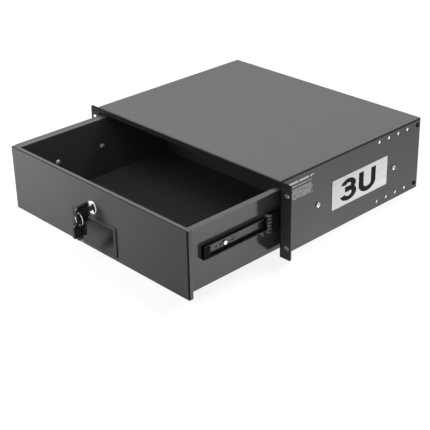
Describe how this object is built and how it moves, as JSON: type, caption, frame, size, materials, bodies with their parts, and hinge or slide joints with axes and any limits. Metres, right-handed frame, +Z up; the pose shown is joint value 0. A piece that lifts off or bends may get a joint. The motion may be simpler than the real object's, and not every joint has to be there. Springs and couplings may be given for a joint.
{
  "type": "sliding rack drawer",
  "caption": "Locking sliding drawer in a folded steel cabinet with rack ears, carried on ball-bearing slides.",
  "frame": {"origin": "centre of the four ear slots, on the ears' rear face that meets the rack", "axes": "+X to the right of someone facing the drawer, +Y back into the rack, +Z up"},
  "size_m": [0.4826, 0.575, 0.13],
  "materials": {
    "cabinet_paint": "satin",
    "drawer_paint": "satin",
    "slide_steel": "satin",
    "cage_steel": "satin",
    "ball_steel": "polished",
    "zinc_screw": "satin",
    "black_screw": "satin",
    "plate_metal": "brushed",
    "label_film": "matte",
    "bumper_plastic": "matte",
    "end_cap_plastic": "matte",
    "handle_plastic": "matte",
    "chrome": "polished",
    "brass_key": "satin",
    "key_plastic": "matte"
  },
  "bodies": {
    "cabinet": {"side_panel_right": "cabinet_paint", "side_panel_left": "cabinet_paint", "top_cover": "cabinet_paint", "rear_tie_upper": "cabinet_paint", "rear_tie_lower": "cabinet_paint", "tie_screws_right": "black_screw", "tie_screws_left": "black_screw", "slide_outer_right": "slide_steel", "slide_outer_left": "slide_steel", "outer_screws_right": "zinc_screw", "outer_screws_left": "zinc_screw", "size_plate": "plate_metal", "data_label": "label_film", "lock_strike": "cabinet_paint"},
    "drawer": {"drawer_tray": "drawer_paint", "drawer_front_wall": "drawer_paint", "drawer_back": "drawer_paint", "drawer_front": "drawer_paint", "handle_cup": "handle_plastic", "lock_body": "chrome", "lock_nut": "zinc_screw", "drawer_side_right": "drawer_paint", "drawer_side_left": "drawer_paint", "slide_inner_right": "slide_steel", "slide_inner_left": "slide_steel", "inner_bumper_right": "bumper_plastic", "inner_bumper_left": "bumper_plastic", "drawer_screws_right": "zinc_screw", "drawer_screws_left": "zinc_screw", "drawer_nuts_right": "zinc_screw", "drawer_nuts_left": "zinc_screw"},
    "middle_right": {"slide_middle_right": "slide_steel", "middle_bumper_right": "end_cap_plastic"},
    "outer_retainer_right": {"outer_cage_right": "cage_steel", "outer_balls_right": "ball_steel"},
    "inner_retainer_right": {"inner_cage_right": "cage_steel", "inner_balls_right": "ball_steel"},
    "middle_left": {"slide_middle_left": "slide_steel", "middle_bumper_left": "end_cap_plastic"},
    "outer_retainer_left": {"outer_cage_left": "cage_steel", "outer_balls_left": "ball_steel"},
    "inner_retainer_left": {"inner_cage_left": "cage_steel", "inner_balls_left": "ball_steel"},
    "lock_rotor": {"lock_plug": "chrome", "lock_cam": "zinc_screw", "cam_screw": "zinc_screw"},
    "key": {"key_head": "key_plastic", "key_blade": "brass_key"},
    "spare_key": {"key_ring": "chrome", "spare_key_head": "key_plastic", "spare_key_blade": "brass_key"}
  },
  "joints": [
    {"name": "middle_left_travel", "type": "slide", "parent": "cabinet", "child": "middle_left", "axis": [0, -1, 0], "range_m": [-0.056, 0.094]},
    {"name": "middle_right_travel", "type": "slide", "parent": "cabinet", "child": "middle_right", "axis": [0, -1, 0], "range_m": [-0.056, 0.094]},
    {"name": "outer_retainer_left_travel", "type": "slide", "parent": "cabinet", "child": "outer_retainer_left", "axis": [0, -1, 0], "range_m": [-0.028, 0.047]},
    {"name": "outer_retainer_right_travel", "type": "slide", "parent": "cabinet", "child": "outer_retainer_right", "axis": [0, -1, 0], "range_m": [-0.028, 0.047]},
    {"name": "drawer_travel", "type": "slide", "parent": "middle_left", "child": "drawer", "axis": [0, -1, 0], "range_m": [-0.132, 0.008]},
    {"name": "inner_retainer_left_travel", "type": "slide", "parent": "middle_left", "child": "inner_retainer_left", "axis": [0, -1, 0], "range_m": [-0.066, 0.004]},
    {"name": "inner_retainer_right_travel", "type": "slide", "parent": "middle_right", "child": "inner_retainer_right", "axis": [0, -1, 0], "range_m": [-0.066, 0.004]},
    {"name": "lock_turn", "type": "hinge", "parent": "drawer", "child": "lock_rotor", "pos_m": [0, -0.1895, 0.01375], "axis": [0, -1, 0], "range_deg": [0, 90]},
    {"name": "key_pull", "type": "slide", "parent": "lock_rotor", "child": "key", "axis": [0, -1, 0], "range_m": [0, 0.03]},
    {"name": "spare_key_swing", "type": "hinge", "parent": "key", "child": "spare_key", "pos_m": [0, -0.2175, 0.01375], "axis": [1, 0, 0], "range_deg": [-70, 5]}
  ],
  "couplings": [
    {"joint": "middle_right_travel", "follows": "middle_left_travel", "ratio": 1},
    {"joint": "outer_retainer_left_travel", "follows": "middle_left_travel", "ratio": 0.5},
    {"joint": "outer_retainer_right_travel", "follows": "middle_left_travel", "ratio": 0.5},
    {"joint": "inner_retainer_left_travel", "follows": "drawer_travel", "ratio": 0.5},
    {"joint": "inner_retainer_right_travel", "follows": "drawer_travel", "ratio": 0.5}
  ]
}
